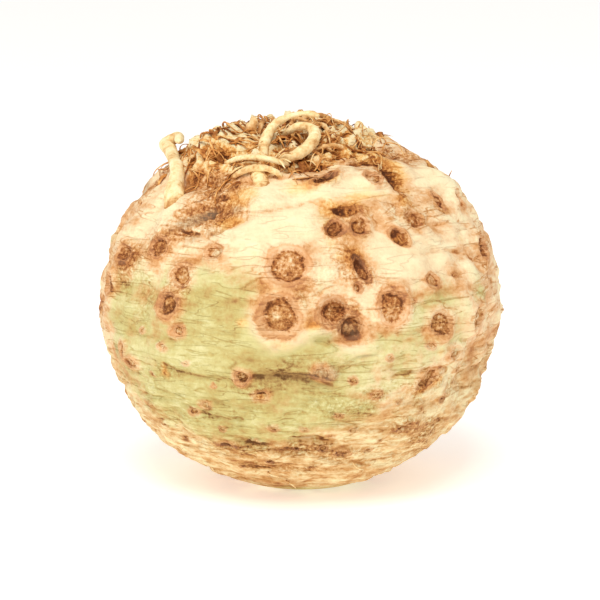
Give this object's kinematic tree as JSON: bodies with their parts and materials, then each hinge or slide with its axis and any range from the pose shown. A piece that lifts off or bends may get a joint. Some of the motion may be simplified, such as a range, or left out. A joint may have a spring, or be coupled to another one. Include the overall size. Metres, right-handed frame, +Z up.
{
  "type": "celeriac root",
  "caption": "Whole celeriac root, a knobbly ball with matted roots on top and ringed root scars, resting on its cut crown.",
  "frame": {"origin": "middle of the flat spot at the cut leaf crown, on which the root rests", "axes": "+Z up from the rest plane through the root's middle towards the matted roots; -Y towards the side shown in the picture; +X to the right in the picture"},
  "size_m": [0.1202, 0.1252, 0.1124],
  "materials": {
    "celeriac_skin": "dry raw root skin, cream and pale green with tan cork and dark brown scars"
  },
  "bodies": {
    "root": {"celeriac_root": "celeriac_skin"}
  },
  "joints": []
}
